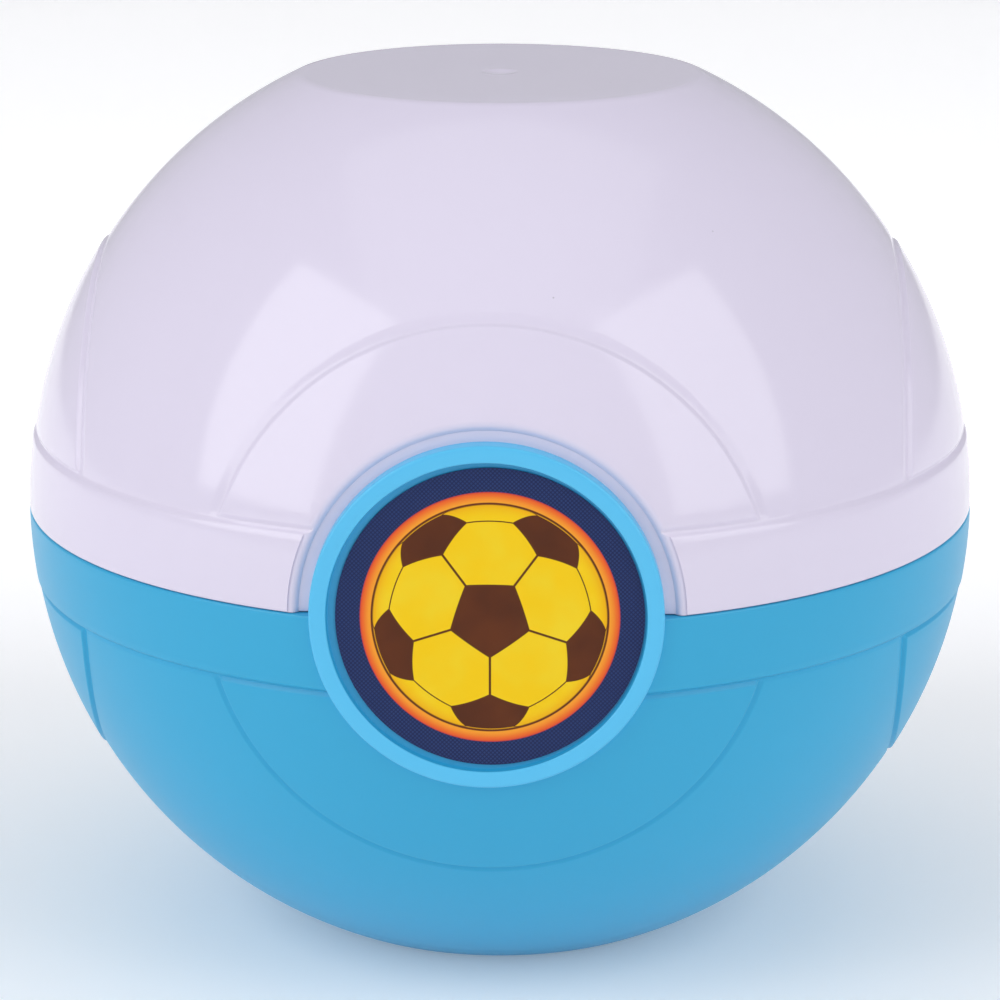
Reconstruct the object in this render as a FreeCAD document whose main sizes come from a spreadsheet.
"""Ball-shaped tabletop football game: a clamshell case with a four-rod game inside.

The ball rests on the flat underside of its base.  The origin is the centre of that flat, +Z is up,
the round badge faces -Y and the hinge is at +Y.  Heights of the inner parts are measured from the
parting plane, where the lid meets the base.
"""
import FreeCAD, Part
import math
import os
import re

import Sketcher

SIZES = {
    # case
    "ball_radius": 70.0,        # outside of the two raised bands at the parting plane
    "dome_radius": 69.5,        # outside of the domes
    "disc_radius": 69.8,        # outside of the four round raised discs
    "inner_radius": 67.5,       # inside of both shells
    "flat_drop": 63.0,          # ball centre to the flat at the top and the bottom
    "shell_wall": 2.0,
    "flat_rounding": 4.0,
    "lid_band": 10.6,
    "base_band": 10.2,
    "band_slope": 0.5,
    "rim_chamfer": 0.35,
    "lid_gap": 0.1,             # lid's rim above the base's rim
    "disc_angle": 33.6,         # half-angle of a raised disc, seen from the ball's centre
    "base_disc_edge": 0.8,      # slope around a disc, in degrees of the same angle
    "lid_disc_edge": 1.5,
    "gate_radius": 2.5,
    "gate_depth": 0.4,
    # tongue and ledge inside the base's rim
    "tongue_height": 2.5,
    "tongue_radius": 67.2,
    "tongue_inner": 66.0,
    "tongue_break": 29.5,       # half-width of the gap in the tongue behind the badge
    "ledge_drop": 4.0,
    "ledge_inner": 63.8,
    # badge
    "badge_radius": 23.7,
    "badge_face": 66.8,         # ring face, forward of the ball's centre
    "badge_floor": 65.8,
    "badge_back": 63.4,
    "badge_rim": 2.4,
    "badge_rounding": 0.4,
    "badge_draft": 0.15,        # how much narrower the recess is at its floor
    "sticker_radius": 20.6,
    "sticker_thick": 0.2,
    "sticker_shift": 0.45,
    "notch_radius": 24.9,
    "notch_rounding": 1.3,
    "notch_floor": 62.9,
    "notch_wall": 1.5,
    # hinge
    "hinge_reach": 73.6,
    "knuckle_radius": 3.2,
    "pin_radius": 1.25,
    "pin_length": 37.0,
    "base_bore": 1.27,
    "lid_bore": 1.32,
    "web_top": 8.0,             # how far the knuckles' webs reach up and down the shells
    "web_gap": 0.6,             # from the parting plane to a web
    # tray
    "tray_radius": 65.7,
    "deck_top": -2.0,
    "deck_thick": 2.0,
    "field_half_width": 28.0,
    "field_half_length": 48.0,
    "field_floor": -11.0,
    "sheet_thick": 0.3,
    "tray_floor_thick": 1.7,
    "side_wall": 4.0,
    "end_wall": 2.0,
    "mouth_half_width": 12.0,
    "mouth_top": -1.7,
    "cup_depth": 9.8,
    "cup_wall": 1.2,
    "rail_hole": 0.75,
    "well_half": 9.0,           # half-length of the openings under the knobs
    "well_limit": 64.0,
    # rods
    "rod_height": 1.5,          # rod axis above the parting plane
    "rod_pitch": 24.0,
    "shaft_radius": 1.5,
    "saddle_radius": 1.55,
    "cap_top": 5.2,
    "bumper_start": 21.1,       # leaves the rod 5 mm to slide each way
    "bumper_width": 1.8,
    "bumper_radius": 3.0,
    "bumper_bore": 1.56,
    "player_pitch": 17.0,
    "hub_radius": 3.0,
    "hub_half": 3.0,
    "foot_reach": 11.2,
    "head_radius": 2.2,
    "head_height": 7.0,
    "knob_start": 38.3,
    "knob_width": 7.0,
    "knob_radius": 4.5,
    "tip_start": 38.6,
    "tip_width": 4.4,
    "tip_radius": 2.2,
    "ball_size": 4.0,
    # screws
    "boss_x": 22.0,
    "boss_y": 56.0,
    "boss_radius": 3.0,
    "boss_hole": 0.9,
    "boss_hole_depth": 9.0,
    "deck_hole": 1.2,
    "cap_hole": 0.95,
    "screw_slot": 0.11,         # half-width of a cross recess, as a share of the head's radius
}

RODS = ("red_keeper", "blue_attack", "red_attack", "blue_keeper")   # from the badge to the hinge
BASE_KNUCKLES = ((-18, -12.2), (-2.9, 2.9), (12.2, 18))             # along the hinge pin
LID_KNUCKLES = ((-11.9, -3.2), (3.2, 11.9))
TRAY_SCREW = (2.2, 0.9, 10.0)                                       # head radius, shank radius, length
RAIL_SCREW = (1.6, 0.75, 8.0)
KNOB_GROOVES = 10
FRONT_HALF_WIDTHS = (("-foot_reach", 2.3), ("-foot_reach + 2.4", 2.2), ("-foot_reach + 3.2", 1.6),
                     ("-4.2", 1.9), ("-2.6", 2.5), ("2", 2.4), ("4", 2.9), ("5.1", 2.2), ("5.6", 0.8))
SIDE_HALF_WIDTHS = (("-foot_reach", 2.0), ("-foot_reach + 1.8", 2.0), ("-foot_reach + 3.4", 1.1),
                    ("-4", 1.5), ("3.6", 1.6), ("5.1", 1.3), ("5.6", 0.8))

doc = FreeCAD.newDocument("football_game")
sheet = doc.addObject("Spreadsheet::Sheet", "Sizes")
nodes = []
words = re.compile(r"[a-z]+(?:_[a-z]+)+")


def fill_sheet():
    """Write every driving dimension into its own cell, with its name beside it."""
    for row, (alias, value) in enumerate(SIZES.items(), start=1):
        sheet.set("A%d" % row, alias)
        sheet.set("B%d" % row, str(value))
        sheet.setAlias("B%d" % row, alias)
    doc.recompute()


def bound(text):
    """The expression with each dimension's name pointing at its cell."""
    return words.sub(lambda found: "Sizes." + found.group(0), str(text))


def size(text):
    """The number that an expression gives."""
    value = sheet.evalExpression(bound(text))
    return float(getattr(value, "Value", value))


def bind(thing, **places):
    """Bind properties to expressions; a double underscore stands for the dot in a path."""
    for path, text in places.items():
        thing.setExpression(path.replace("__", "."), bound(text))
    return thing


def place(thing, x=0, y=0, z=0, axis=None, angle=0):
    """Put an object at x, y, z, turned about an axis by an angle."""
    if axis:
        turn = FreeCAD.Rotation(FreeCAD.Vector(*axis), angle)
        thing.Placement = FreeCAD.Placement(FreeCAD.Vector(), turn)
    return bind(thing, Placement__Base__x=x, Placement__Base__y=y, Placement__Base__z=z)


def above(height):
    """A height measured from the parting plane, as a height above the table."""
    return "flat_drop + (%s)" % height


def block(name, xs, ys, zs):
    """A box between three pairs of limits, the last pair from the parting plane."""
    thing = doc.addObject("Part::Box", name)
    bind(thing, Length="(%s) - (%s)" % (xs[1], xs[0]), Width="(%s) - (%s)" % (ys[1], ys[0]),
         Height="(%s) - (%s)" % (zs[1], zs[0]))
    return place(thing, xs[0], ys[0], above(zs[0]))


def post(name, radius, x, y, zs):
    """An upright cylinder."""
    thing = doc.addObject("Part::Cylinder", name)
    bind(thing, Radius=radius, Height="(%s) - (%s)" % (zs[1], zs[0]))
    return place(thing, x, y, above(zs[0]))


def bar(name, radius, xs, y, height):
    """A cylinder along X."""
    thing = doc.addObject("Part::Cylinder", name)
    bind(thing, Radius=radius, Height="(%s) - (%s)" % (xs[1], xs[0]))
    return place(thing, xs[0], y, above(height), (0, 1, 0), 90)


def globe(name, radius, x=0, y=0, height=0):
    """A whole sphere."""
    thing = bind(doc.addObject("Part::Sphere", name), Radius=radius)
    return place(thing, x, y, above(height))


def cone(name, radii, xs, y, height):
    """A cone along X."""
    thing = doc.addObject("Part::Cone", name)
    bind(thing, Radius1=radii[0], Radius2=radii[1], Height="(%s) - (%s)" % (xs[1], xs[0]))
    return place(thing, xs[0], y, above(height), (0, 1, 0), 90)


def fuse(name, *parts):
    """One solid from parts that meet."""
    thing = doc.addObject("Part::MultiFuse", name)
    thing.Shapes = list(parts)
    thing.Refine = True
    return thing


def common(name, *parts):
    """What the parts share."""
    thing = doc.addObject("Part::MultiCommon", name)
    thing.Shapes = list(parts)
    return thing


def group(name, *parts):
    """Separate solids kept together."""
    thing = doc.addObject("Part::Compound", name)
    thing.Links = list(parts)
    return thing


def cut(name, base, *tools):
    """The base less every tool; a tool that removes nothing is an error."""
    thing = doc.addObject("Part::Cut", name)
    thing.Base = base
    thing.Tool = tools[0] if len(tools) == 1 else group(name + "_tools", *tools)
    thing.Refine = True
    doc.recompute()
    if thing.Shape.Volume > base.Shape.Volume - 1e-6:
        raise ValueError(name + ": its tools cut nothing")
    return thing


def node(label, thing):
    """Mark an object as one of the game's pieces."""
    thing.Label = label
    nodes.append(thing)
    return thing


def new_body(name, x=0, y=0, height=0):
    """An empty body with its origin on the parting plane's level plus a height."""
    return place(doc.addObject("PartDesign::Body", name), x, y, above(height))


def new_sketch(body, name, plane, lift=0):
    """A sketch on one of the body's own origin planes."""
    sketch = body.newObject("Sketcher::SketchObject", name)
    origin = next(o for o in body.Origin.OriginFeatures if o.Role == plane)
    sketch.AttachmentSupport = [(origin, "")]
    sketch.MapMode = "FlatFace"
    if lift:
        bind(sketch, AttachmentOffset__Base__z=lift)
    return sketch


def arc_between(start, end, radius, turn):
    """The short arc from start to end; turn is 1 for anticlockwise and -1 for clockwise."""
    chord = end - start
    middle = (start + end) * 0.5
    side = FreeCAD.Vector(-chord.y, chord.x, 0).normalize() * turn
    centre = middle + side * math.sqrt(radius ** 2 - (chord.Length / 2) ** 2)
    first, last = (start, end) if turn > 0 else (end, start)
    angles = [math.atan2(p.y - centre.y, p.x - centre.x) for p in (first, last)]
    circle = Part.Circle(centre, FreeCAD.Vector(0, 0, 1), radius)
    return Part.ArcOfCircle(circle, angles[0], angles[1])


def pin_down(sketch, edge, end, axis, text):
    """Fix one coordinate of an edge's end point."""
    if str(text) == "0":
        line = -2 if axis == "X" else -1
        sketch.addConstraint(Sketcher.Constraint("PointOnObject", edge, end, line))
        return
    rule = Sketcher.Constraint("Distance" + axis, -1, 1, edge, end, size(text))
    index = sketch.addConstraint(rule)
    sketch.setExpression("Constraints[%d]" % index, bound(text))


def add_outline(sketch, corners):
    """A closed outline.  A corner is (x, y), or (x, y, radius, turn) where an arc ends there."""
    spots = [FreeCAD.Vector(size(c[0]), size(c[1]), 0) for c in corners]
    edges = []
    for index, corner in enumerate(corners):
        start, end = spots[index - 1], spots[index]
        if len(corner) == 2:
            edges.append((sketch.addGeometry(Part.LineSegment(start, end)), 1, 2))
            continue
        radius, turn = corner[2], corner[3]
        edge = sketch.addGeometry(arc_between(start, end, size(radius), turn))
        edges.append((edge, 1, 2) if turn > 0 else (edge, 2, 1))
    for index, (edge, first, last) in enumerate(edges):
        before = edges[index - 1]
        sketch.addConstraint(Sketcher.Constraint("Coincident", before[0], before[2], edge, first))
        pin_down(sketch, edge, last, "X", corners[index][0])
        pin_down(sketch, edge, last, "Y", corners[index][1])
    for corner, (edge, first, last) in zip(corners, edges):
        if len(corner) > 2:
            rule = Sketcher.Constraint("Radius", edge, size(corner[2]))
            index = sketch.addConstraint(rule)
            sketch.setExpression("Constraints[%d]" % index, bound(corner[2]))


def revolve(body, name, sketch, axis, angle=360, back=False, kind="Revolution"):
    """Turn a sketch about its own H_Axis or V_Axis."""
    feature = body.newObject("PartDesign::" + kind, name)
    feature.Profile = sketch
    feature.ReferenceAxis = (sketch, [axis])
    feature.Angle = angle
    feature.Reversed = back
    doc.recompute()
    return feature


def pad(body, name, sketch, length):
    """Pad a sketch the same way to both sides."""
    feature = body.newObject("PartDesign::Pad", name)
    feature.Profile = sketch
    feature.SideType = "Symmetric"
    bind(feature, Length=length)
    doc.recompute()
    return feature


def turned(name, corners, x=0, y=0, height=0):
    """A body turned about Z from an outline of (radius, height)."""
    body = new_body(name, x, y, height)
    sketch = new_sketch(body, name + "_outline", "XZ_Plane")
    add_outline(sketch, corners)
    revolve(body, name + "_turn", sketch, "V_Axis")
    return body


def round_flat(body, name, height):
    """Round the outer edge of the flat at the given height."""
    tip = body.Tip
    rims = [i for i, e in enumerate(tip.Shape.Edges, start=1)
            if abs(e.BoundBox.ZMin - height) < 0.01 and abs(e.BoundBox.ZMax - height) < 0.01]
    widest = max(rims, key=lambda i: tip.Shape.Edges[i - 1].BoundBox.XLength)
    feature = body.newObject("PartDesign::Fillet", name)
    feature.Base = (tip, ["Edge%d" % widest])
    bind(feature, Radius="flat_rounding")
    doc.recompute()


def on_ball(radius, height):
    """The distance from the ball's axis to a sphere at a height from its centre."""
    return "sqrt(%s ^ 2 - (%s) ^ 2)" % (radius, height)


def disc_corners(edge, sign, swap):
    """Outline of half a raised disc's section, on the positive or negative end of an axis."""
    core = "(dome_radius - 1)"
    rim = "disc_angle"
    foot = "(disc_angle + %s)" % edge
    spots = [(core, "0"), ("disc_radius", "0"), ("disc_radius", rim),
             ("(dome_radius - 0.03)", foot), (core, foot)]
    corners = []
    for index, (radius, angle) in enumerate(spots):
        along = "%s * cos(%s * 1deg) * %d" % (radius, angle, sign) if angle != "0" else \
            "%s * %d" % (radius, sign)
        across = "%s * sin(%s * 1deg)" % (radius, angle) if angle != "0" else "0"
        spot = (across, along) if swap else (along, across)
        if index == 2:
            turn = sign * (-1 if swap else 1)
            spot = spot + ("disc_radius", turn)
        corners.append(spot)
    corners[0] = corners[0] + (core, -sign * (-1 if swap else 1))
    return corners


def raise_discs(body, edge, back_x, back_y, lift=0):
    """Four half discs on the dome, on the ends of the X and Y axes."""
    for name, axis, swap, back in (("side", "H_Axis", False, back_x), ("end", "V_Axis", True, back_y)):
        sketch = new_sketch(body, "%s_%s_discs_outline" % (body.Name, name), "XY_Plane", lift)
        for sign in (1, -1):
            add_outline(sketch, disc_corners(edge, sign, swap))
        revolve(body, "%s_%s_discs" % (body.Name, name), sketch, axis, 180, back)


def make_bowl():
    """The lower half of the ball, with the tongue and the ledge inside its rim."""
    step = "(base_band + band_slope)"
    floor = "(flat_drop - shell_wall)"
    bowl = turned("bowl", [
        ("0", "-flat_drop"),
        (on_ball("dome_radius", "flat_drop"), "-flat_drop"),
        (on_ball("dome_radius", step), "-" + step, "dome_radius", 1),
        (on_ball("ball_radius", "base_band"), "-base_band"),
        (on_ball("ball_radius", "rim_chamfer"), "-rim_chamfer", "ball_radius", 1),
        ("ball_radius - rim_chamfer", "0"),
        ("tongue_radius", "0"),
        ("tongue_radius", "tongue_height - rim_chamfer"),
        ("tongue_radius - rim_chamfer", "tongue_height"),
        ("tongue_inner", "tongue_height"),
        ("tongue_inner", "-ledge_drop"),
        ("ledge_inner", "-ledge_drop"),
        ("ledge_inner", "-ledge_drop - 2"),
        (on_ball("inner_radius", "ledge_drop + 5"), "-ledge_drop - 5"),
        (on_ball("inner_radius", floor), "-" + floor, "inner_radius", -1),
        ("0", "-" + floor),
    ])
    round_flat(bowl, "bowl_rounding", -size("flat_drop"))
    raise_discs(bowl, "base_disc_edge", True, False)
    return bowl


def make_cover():
    """The upper half of the ball, with the gate mark in the middle of its flat."""
    step = "(lid_band + band_slope)"
    roof = "(flat_drop - shell_wall)"
    foot = "(lid_gap + rim_chamfer)"
    cover = turned("cover", [
        ("0", "flat_drop - gate_depth"),
        ("0", roof),
        (on_ball("inner_radius", roof), roof),
        (on_ball("inner_radius", "lid_gap"), "lid_gap", "inner_radius", -1),
        ("ball_radius - rim_chamfer", "lid_gap"),
        (on_ball("ball_radius", foot), foot),
        (on_ball("ball_radius", "lid_band"), "lid_band", "ball_radius", 1),
        (on_ball("dome_radius", step), step),
        (on_ball("dome_radius", "flat_drop"), "flat_drop", "dome_radius", 1),
        ("gate_radius", "flat_drop"),
        ("gate_radius * 0.6", "flat_drop - gate_depth"),
    ])
    round_flat(cover, "cover_rounding", size("flat_drop"))
    raise_discs(cover, "lid_disc_edge", False, True, "lid_gap")
    sink_notch(cover)
    return cover


def sink_notch(cover):
    """The round recess with a soft edge that the badge stands in, and the wall behind it."""
    lean = "asin(notch_radius / disc_radius)"
    mouth = "(notch_radius + notch_rounding * (1 + sin(%s)))" % lean
    brim = on_ball("disc_radius", mouth)
    start = "(%s - notch_rounding * cos(%s))" % (brim, lean)
    far = "ball_radius + 5"
    sketch = new_sketch(cover, "notch_outline", "XY_Plane", "lid_gap")
    add_outline(sketch, [
        ("0", "-notch_floor"),
        ("notch_radius", "-notch_floor"),
        ("notch_radius", "-" + start),
        (mouth, "-" + brim, "notch_rounding", 1),
        (mouth, "-(%s)" % far),
        ("0", "-(%s)" % far),
    ])
    revolve(cover, "notch", sketch, "V_Axis", kind="Groove")
    wall = new_sketch(cover, "notch_wall_outline", "XY_Plane", "lid_gap")
    reach = "(notch_radius + 2)"
    add_outline(wall, [
        ("0", "-notch_floor"),
        ("0", "-notch_floor + notch_wall"),
        (reach, "-notch_floor + notch_wall"),
        (reach, "-notch_floor"),
    ])
    revolve(cover, "notch_wall", wall, "V_Axis", 180, True)


def make_badge():
    """The round badge plate with a raised rim, which stands up from the base's front."""
    body = new_body("badge_plate")
    sketch = new_sketch(body, "badge_outline", "XY_Plane")
    hole = "(badge_radius - badge_rim)"
    add_outline(sketch, [
        ("0", "-badge_back"),
        ("0", "-badge_floor"),
        (hole + " - badge_draft", "-badge_floor"),
        (hole, "-badge_face + badge_draft"),
        (hole + " + badge_draft", "-badge_face"),
        ("badge_radius - badge_rounding", "-badge_face"),
        ("badge_radius", "-badge_face + badge_rounding", "badge_rounding", 1),
        ("badge_radius", "-badge_back"),
    ])
    revolve(body, "badge_turn", sketch, "V_Axis")
    return body


def along_front(name, radius, ys):
    """A cylinder along Y through the ball's centre line."""
    thing = doc.addObject("Part::Cylinder", name)
    bind(thing, Radius=radius, Height="(%s) - (%s)" % (ys[1], ys[0]))
    return place(thing, 0, ys[0], above(0), (1, 0, 0), -90)


def hinge_arm(name, side, xs):
    """One knuckle with the web that joins it to its shell; side is -1 for the base, 1 for the lid."""
    barrel = bar(name + "_barrel", "knuckle_radius", xs, "hinge_reach", 0)
    middle = "((%s) + (%s)) / 2" % xs
    body = place(doc.addObject("PartDesign::Body", name + "_web"), middle, 0, above(0))
    sketch = new_sketch(body, name + "_web_outline", "YZ_Plane")
    near, low, top = "inner_radius - 2.5", "web_gap * %d" % side, "web_top * %d" % side
    add_outline(sketch, [
        (near, low),
        ("hinge_reach", low),
        ("hinge_reach + 2.6", 1.6 * side),
        ("hinge_reach + 0.9", 3.05 * side),
        ("ball_radius - 0.8", top),
        (near, top),
    ])
    pad(body, name + "_web_pad", sketch, "(%s) - (%s)" % (xs[1], xs[0]))
    return fuse(name, barrel, body)


def hinge_side(name, side, spans, bore):
    """All of one shell's hinge knuckles, kept clear of its inside, with the pin's bore."""
    arms = [hinge_arm("%s_knuckle_%d" % (name, index), side, xs)
            for index, xs in enumerate(spans, start=1)]
    inside = globe(name + "_hinge_inside", "inner_radius + 0.4")
    hole = bar(name + "_hinge_hole", bore, ("-pin_length", "pin_length"), "hinge_reach", 0)
    return cut(name + "_hinge", group(name + "_arms", *arms), inside, hole)


def corner_spots():
    """The four screw places in the tray's corners."""
    return [(sx, sy) for sx in (-1, 1) for sy in (-1, 1)]


def make_base_shell():
    """The blue base: bowl, badge plate, hinge knuckles and the tray's screw bosses."""
    front = along_front("badge_seat", "badge_radius", ("-ball_radius - 5", "-badge_floor"))
    gap = block("tongue_gap", ("-tongue_break", "tongue_break"), ("-ball_radius", "-50"),
                (0, "tongue_height + 1"))
    bowl = cut("open_bowl", make_bowl(), front, gap)
    bosses, holes = [], []
    for index, (sx, sy) in enumerate(corner_spots(), start=1):
        spot = ("boss_x * %d" % sx, "boss_y * %d" % sy)
        bosses.append(post("boss_%d" % index, "boss_radius", *spot, ("-36", "-ledge_drop")))
        holes.append(post("boss_hole_%d" % index, "boss_hole", *spot,
                          ("-ledge_drop - boss_hole_depth", "0")))
    inside = globe("boss_limit", "inner_radius + 0.8")
    stood = common("boss_posts", group("boss_set", *bosses), inside)
    knuckles = hinge_side("base", -1, BASE_KNUCKLES, "base_bore")
    whole = fuse("base_whole", bowl, make_badge(), stood, knuckles)
    node("base_shell", cut("base_drilled", whole, *holes))


def make_lid_shell():
    """The white lid with its hinge knuckles."""
    knuckles = hinge_side("lid", 1, LID_KNUCKLES, "lid_bore")
    node("lid_shell", fuse("lid_whole", make_cover(), knuckles))


def make_trim():
    """The badge's printed disc and the hinge pin."""
    disc = along_front("sticker_disc", "sticker_radius", ("-badge_floor - sticker_thick", "-badge_floor"))
    bind(disc, Placement__Base__x="sticker_shift")
    node("badge_sticker", disc)
    pin = turned("pin", [
        ("0", "0"),
        ("pin_radius - 0.4", "0"),
        ("pin_radius", "0.4"),
        ("pin_radius", "pin_length - 0.4"),
        ("pin_radius - 0.4", "pin_length"),
        ("0", "pin_length"),
    ])
    node("hinge_pin", place(pin, "-pin_length / 2", "hinge_reach", above(0), (0, 1, 0), 90))


def rod_spot(index):
    """A rod's distance from the middle of the field, along Y."""
    return "rod_pitch * %s" % (index - 1.5)


def knob_side(index):
    """1 where the rod's knob is at +X and -1 where it is at -X."""
    return 1 if index % 2 == 0 else -1


def span(side, near, far):
    """Limits along an axis of something at a distance on one side of the middle."""
    return (near, far) if side > 0 else ("-(%s)" % far, "-(%s)" % near)


def finger_wells():
    """The openings in the deck below the knobs, kept inside the deck's rim."""
    hollows = []
    for index in range(len(RODS)):
        side, y = knob_side(index), rod_spot(index)
        hollows.append(block("well_%d" % index, span(side, "field_half_width + side_wall", "tray_radius"),
                             ("%s - well_half" % y, "%s + well_half" % y),
                             ("deck_top - deck_thick - 1", "0")))
    limit = post("well_limit_post", "well_limit", 0, 0, ("-20", "10"))
    return common("finger_wells", group("well_set", *hollows), limit)


def saddles(name):
    """The four holes across both side walls that the rods turn in."""
    reach = "field_half_width + side_wall + 1"
    return [bar("%s_%d" % (name, i), "saddle_radius", ("-(%s)" % reach, reach), rod_spot(i), "rod_height")
            for i in range(len(RODS))]


def make_tray():
    """The tray that holds the field, the rods, the goals and the finger wells."""
    width, length = "field_half_width", "field_half_length"
    deck = post("deck", "tray_radius", 0, 0, ("deck_top - deck_thick", "deck_top"))
    tub = block("tub", ("-(%s + side_wall)" % width, width + " + side_wall"),
                ("-(%s + end_wall)" % length, length + " + end_wall"),
                ("field_floor - tray_floor_thick", "rod_height"))
    tools = [block("field_hollow", ("-" + width, width), ("-" + length, length), ("field_floor", "10")),
             block("front_trim", ("-30", "30"), ("-80", "-badge_back + 0.4"), ("-20", "10")),
             finger_wells()] + saddles("tray_saddle")
    for side in (1, -1):
        tools.append(block("mouth_%d" % (side + 1), ("-mouth_half_width", "mouth_half_width"),
                           span(side, length + " - 1", length + " + end_wall + 1"),
                           ("field_floor", "mouth_top")))
        tools.append(block("cup_opening_%d" % (side + 1),
                           ("-mouth_half_width - 1.2", "mouth_half_width + 1.2"),
                           span(side, length + " + end_wall", length + " + end_wall + cup_depth + 0.3"),
                           ("-13", "0")))
        for hole in (-1, 0, 1):
            tools.append(post("rail_hole_%d_%d" % (side + 1, hole + 1), "rail_hole",
                              "%d * (field_half_width + side_wall / 2)" % side,
                              "%d * rod_pitch" % hole, ("rod_height - 5", "rod_height + 1")))
    for index, (sx, sy) in enumerate(corner_spots(), start=1):
        tools.append(post("deck_hole_%d" % index, "deck_hole", "boss_x * %d" % sx, "boss_y * %d" % sy,
                          ("-10", "0")))
    node("pitch_tray", cut("tray", fuse("tray_whole", deck, tub), *tools))


def make_field():
    """The printed field sheet on the tray's floor."""
    node("pitch_sheet", block("field", ("-field_half_width + 0.1", "field_half_width - 0.1"),
                              ("-field_half_length + 0.1", "field_half_length - 0.1"),
                              ("field_floor", "field_floor + sheet_thick")))


def make_goal_cup(label, side):
    """A goal: an open-topped cup behind the mouth, with a rim that lies on the deck."""
    start = "field_half_length + end_wall + 0.1"
    wide = "mouth_half_width + 1"
    end = start + " + cup_depth - 0.1"
    outer = block(label + "_outer", ("-(%s)" % wide, wide), span(side, start, end),
                  ("field_floor - cup_wall", "deck_top"))
    rim = block(label + "_rim", ("-(%s + 1.8)" % wide, wide + " + 1.8"), span(side, start, end + " + 1.8"),
                ("deck_top", "deck_top + 1"))
    hollow = block(label + "_hollow", ("-(%s) + cup_wall" % wide, wide + " - cup_wall"),
                   span(side, start + " - 1", end + " - cup_wall"), ("field_floor", "5"))
    node(label, cut(label + "_cup", fuse(label + "_whole", outer, rim), hollow))


def make_rail_cap(label, side):
    """The bar that closes the rod saddles along one side wall."""
    body = place(doc.addObject("PartDesign::Body", label + "_bar"),
                 "%d * (field_half_width + side_wall / 2)" % side, 0, above("rod_height"))
    sketch = new_sketch(body, label + "_outline", "XZ_Plane")
    half, top = "side_wall / 2", "cap_top - rod_height"
    add_outline(sketch, [
        ("-" + half, "0"),
        (half, "0"),
        (half, top + " - 0.8"),
        (half + " - 0.8", top, "0.8", 1),
        ("0.8 - " + half, top),
        ("-" + half, top + " - 0.8", "0.8", 1),
    ])
    pad(body, label + "_pad", sketch, "2 * (field_half_length + end_wall)")
    holes = [post("%s_hole_%d" % (label, hole + 1), "cap_hole",
                  "%d * (field_half_width + side_wall / 2)" % side, "%d * rod_pitch" % hole,
                  ("0", "cap_top + 1")) for hole in (-1, 0, 1)]
    node(label, cut(label + "_cut", body, *(holes + saddles(label + "_saddle"))))


def make_screw(name, sizes, x, y, height):
    """A round-headed screw with a cross recess, its head's underside at the given height."""
    head, shank, length = sizes
    screw = turned(name + "_blank", [
        ("0", -length),
        (shank * 0.3, -length),
        (shank, 1.5 - length),
        (shank, "0"),
        (head, "0"),
        (head, head * 0.3),
        (head * 0.55, head * 0.62),
        ("0", head * 0.62),
    ], x, y, height)
    slots = []
    for index, (across, along) in enumerate((("0.5", "screw_slot"), ("screw_slot", "0.5"))):
        slots.append(block("%s_slot_%d" % (name, index),
                           ("%s - %s * %s" % (x, head, across), "%s + %s * %s" % (x, head, across)),
                           ("%s - %s * %s" % (y, head, along), "%s + %s * %s" % (y, head, along)),
                           ("%s + %s" % (height, head * 0.3), "%s + %s" % (height, head))))
    return cut(name, screw, *slots)


def make_screws():
    """Four screws hold the tray in the base and six hold the rail caps on the tray."""
    tray = [make_screw("tray_screw_%d" % i, TRAY_SCREW, "boss_x * %d" % sx, "boss_y * %d" % sy, "deck_top")
            for i, (sx, sy) in enumerate(corner_spots(), start=1)]
    node("tray_screws", group("tray_screw_set", *tray))
    rail = []
    for side in (1, -1):
        x = "%d * (field_half_width + side_wall / 2)" % side
        for hole in (-1, 0, 1):
            rail.append(make_screw("rail_screw_%d_%d" % (side + 1, hole + 1), RAIL_SCREW, x,
                                   "%d * rod_pitch" % hole, "cap_top"))
    node("rail_screws", group("rail_screw_set", *rail))


def figure_outline(name, plane, half_widths, length, x, y):
    """A figure's outline, as half-widths at heights from the rod's axis, padded to both sides."""
    body = new_body(name, x, y, "rod_height")
    sketch = new_sketch(body, name + "_outline", plane)
    right = [("%s" % w, height) for height, w in half_widths]
    left = [("-%s" % w, height) for height, w in reversed(half_widths)]
    add_outline(sketch, right + left)
    pad(body, name + "_pad", sketch, length)
    return body


def make_players(label, y):
    """Three figures on a rod, each with its hub, head and foot."""
    figures = []
    for index, side in enumerate((-1, 0, 1), start=1):
        x = "player_pitch * %d" % side
        name = "%s_%d" % (label, index)
        front = figure_outline(name + "_front", "XZ_Plane", FRONT_HALF_WIDTHS, "10", x, y)
        flank = figure_outline(name + "_side", "YZ_Plane", SIDE_HALF_WIDTHS, "10", x, y)
        hub = bar(name + "_hub", "hub_radius", (x + " - hub_half", x + " + hub_half"), y, "rod_height")
        head = globe(name + "_head", "head_radius", x, y, "rod_height + head_height")
        whole = fuse(name + "_whole", common(name + "_figure", front, flank), hub, head)
        bore = bar(name + "_bore", "shaft_radius", (x + " - 5", x + " + 5"), y, "rod_height")
        figures.append(cut(name, whole, bore))
    node(label, group(label + "_set", *figures))


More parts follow.
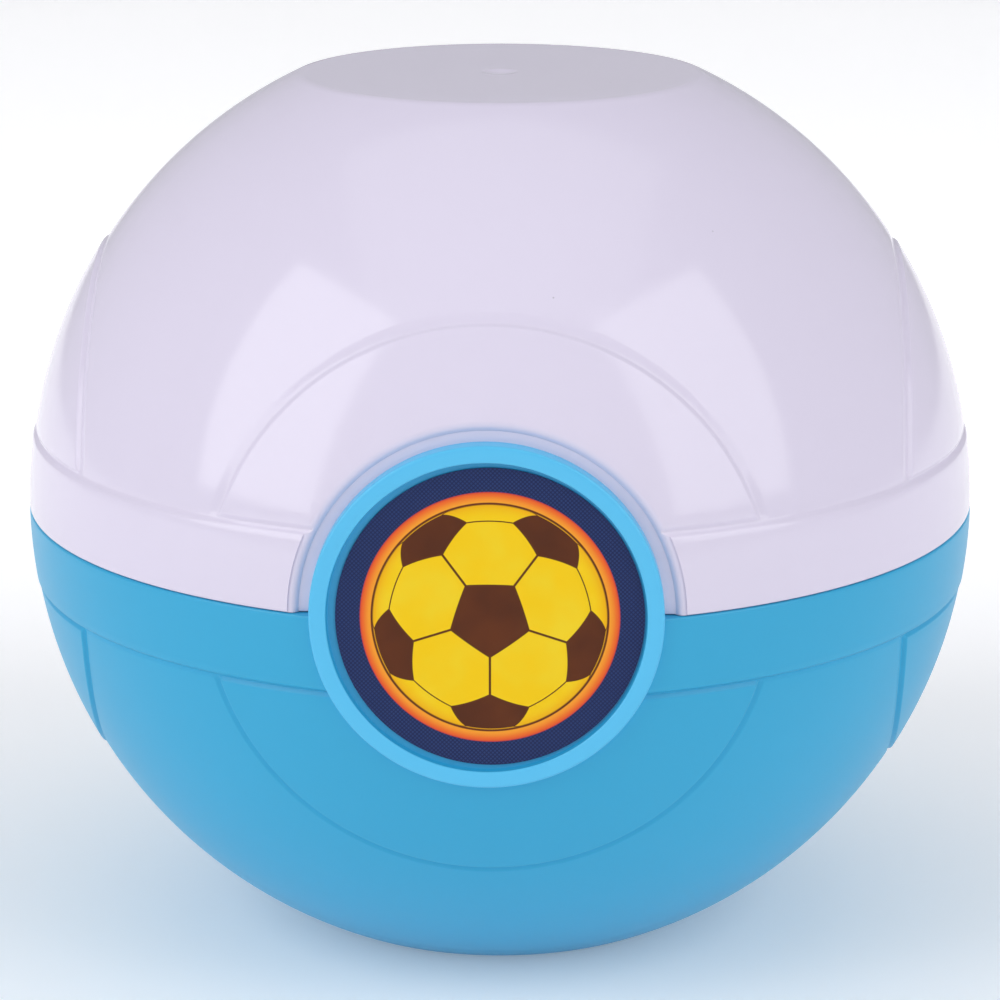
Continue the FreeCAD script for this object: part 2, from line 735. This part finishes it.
def make_knob(label, side, y):
    """A ribbed thumb knob with a blind bore for the shaft's end."""
    start, end = span(side, "knob_start", "knob_start + knob_width")
    drum = bar(label + "_drum", "knob_radius", (start, end), y, "rod_height")
    bore = bar(label + "_bore", "shaft_radius",
               span(side, "knob_start - 1", "knob_start + knob_width - 1"), y, "rod_height")
    grooves = []
    for index in range(KNOB_GROOVES):
        angle = 360.0 * index / KNOB_GROOVES
        groove = bar("%s_groove_%d" % (label, index), "0.7", span(side, "knob_start + 1", "60"),
                     "%s + (knob_radius + 0.35) * cos(%s * 1deg)" % (y, angle),
                     "rod_height + (knob_radius + 0.35) * sin(%s * 1deg)" % angle)
        grooves.append(groove)
    node(label, cut(label + "_cut", common(label + "_soft", drum, shoulder(label, side, y)),
                    bore, *grooves))


def shoulder(label, side, y):
    """A cone that takes the sharp edge off a knob's outer end."""
    near, far = "knob_start - 4", "knob_start + knob_width"
    wide, narrow = "knob_radius + 5", "knob_radius - 0.6"
    radii = (wide, narrow) if side > 0 else (narrow, wide)
    return cone(label + "_shoulder", radii, span(side, near, far), y, "rod_height")


def make_rod(index, name):
    """One rod: shaft, players, knob, end cap and the two bumper rings."""
    side, y = knob_side(index), rod_spot(index)
    tip_end = "(tip_start + tip_width)"
    shaft = ("-%s + 1.4" % tip_end, "knob_start + knob_width - 1")
    if side < 0:
        shaft = ("-(%s)" % shaft[1], tip_end + " - 1.4")
    node(name + "_shaft", bar(name + "_rod", "shaft_radius", shaft, y, "rod_height"))
    make_players(name + "_players", y)
    make_knob(name + "_knob", side, y)
    cap = bar(name + "_cap", "tip_radius", span(-side, "tip_start", tip_end), y, "rod_height")
    bore = bar(name + "_cap_bore", "shaft_radius", span(-side, "tip_start - 1", tip_end + " - 1.4"), y,
               "rod_height")
    node(name + "_end_cap", cut(name + "_cap_cut", cap, bore))
    rings = []
    for ring_side in (1, -1):
        ring = bar("%s_ring_%d" % (name, ring_side + 1), "bumper_radius",
                   span(ring_side, "bumper_start", "bumper_start + bumper_width"), y, "rod_height")
        hole = bar("%s_ring_hole_%d" % (name, ring_side + 1), "bumper_bore",
                   span(ring_side, "bumper_start - 1", "bumper_start + 5"), y, "rod_height")
        rings.append(cut("%s_bumper_%d" % (name, ring_side + 1), ring, hole))
    node(name + "_bumpers", group(name + "_bumper_set", *rings))


def make_ball():
    """The ball, put away in the front goal."""
    middle = "-(field_half_length + end_wall + ball_size + 0.4)"
    node("game_ball", globe("ball", "ball_size", 0, middle, "field_floor + ball_size + 0.02"))


def check_and_write():
    """Stop on a failed object or a bad shape, then write one file for each piece."""
    doc.recompute()
    failed = [o.Name for o in doc.Objects if "Invalid" in o.State or "Error" in o.State]
    bad = [n.Label for n in nodes if n.Shape.isNull() or not n.Shape.isValid() or not n.Shape.Solids]
    if failed or bad:
        raise RuntimeError("failed objects %s, bad shapes %s" % (failed, bad))
    os.makedirs("parts", exist_ok=True)
    for piece in nodes:
        piece.Shape.exportStep("parts/%s.step" % piece.Label)
        print(piece.Label, len(piece.Shape.Solids), round(piece.Shape.Volume, 1))


fill_sheet()
make_base_shell()
make_lid_shell()
make_trim()
make_tray()
make_field()
make_goal_cup("front_goal", -1)
make_goal_cup("rear_goal", 1)
make_rail_cap("left_rail_cap", -1)
make_rail_cap("right_rail_cap", 1)
make_screws()
for number, rod in enumerate(RODS):
    make_rod(number, rod)
make_ball()
check_and_write()
